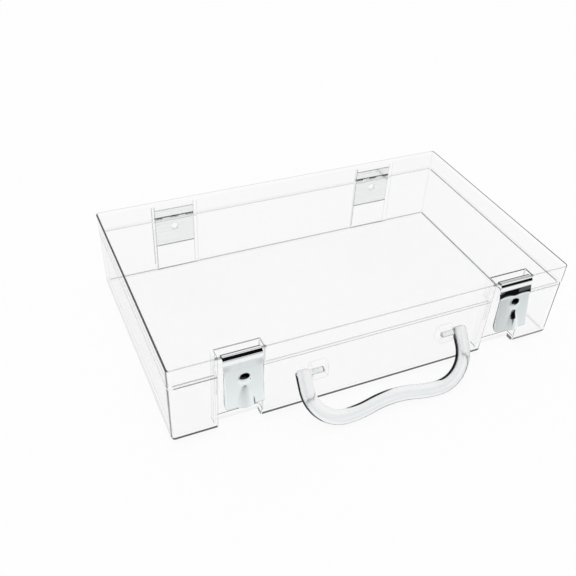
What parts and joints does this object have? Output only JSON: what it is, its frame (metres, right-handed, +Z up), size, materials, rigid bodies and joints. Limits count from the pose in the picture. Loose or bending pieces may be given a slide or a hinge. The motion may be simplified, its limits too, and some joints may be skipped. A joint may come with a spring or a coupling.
{
  "type": "hinged storage container",
  "caption": "Low clear plastic case with a hinged lid, sprung metal latches in front channels, sheet metal rear hinges and a folding bail handle.",
  "frame": {"origin": "middle of the flat underside that the case stands on", "axes": "+X along the case's length, to the right as seen from the latches; +Y from the latches to the hinges; +Z up through the lid"},
  "size_m": [0.28, 0.198, 0.0602],
  "materials": {
    "clear_plastic": "clear gloss",
    "clear_handle": "clear gloss",
    "plated_steel": "bright nickel plate",
    "hinge_steel": "satin plate",
    "pin_steel": "drawn wire"
  },
  "bodies": {
    "base": {"base_tray": "clear_plastic", "hinge_base_leaf_left": "hinge_steel", "hinge_base_leaf_right": "hinge_steel", "hinge_pin_left": "pin_steel", "hinge_pin_right": "pin_steel"},
    "lid": {"lid": "clear_plastic", "hinge_lid_leaf_left": "hinge_steel", "hinge_lid_leaf_right": "hinge_steel", "latch_pin_left": "pin_steel", "latch_pin_right": "pin_steel"},
    "latch_left": {"latch_lever_left": "plated_steel"},
    "latch_right": {"latch_lever_right": "plated_steel"},
    "handle": {"handle": "clear_handle"}
  },
  "joints": [
    {"name": "lid_hinge", "type": "hinge", "parent": "base", "child": "lid", "pos_m": [0, 0.085, 0.045], "axis": [-1, 0, 0], "range_deg": [0, 175]},
    {"name": "latch_left_pivot", "type": "hinge", "parent": "lid", "child": "latch_left", "pos_m": [-0.0955, -0.0835, 0.0585], "axis": [-1, 0, 0], "range_deg": [0, 170]},
    {"name": "latch_right_pivot", "type": "hinge", "parent": "lid", "child": "latch_right", "pos_m": [0.0955, -0.0835, 0.0585], "axis": [-1, 0, 0], "range_deg": [0, 170]},
    {"name": "handle_pivot", "type": "hinge", "parent": "base", "child": "handle", "pos_m": [0, -0.08782, 0.031], "axis": [-1, 0, 0], "range_deg": [0, 132]}
  ]
}
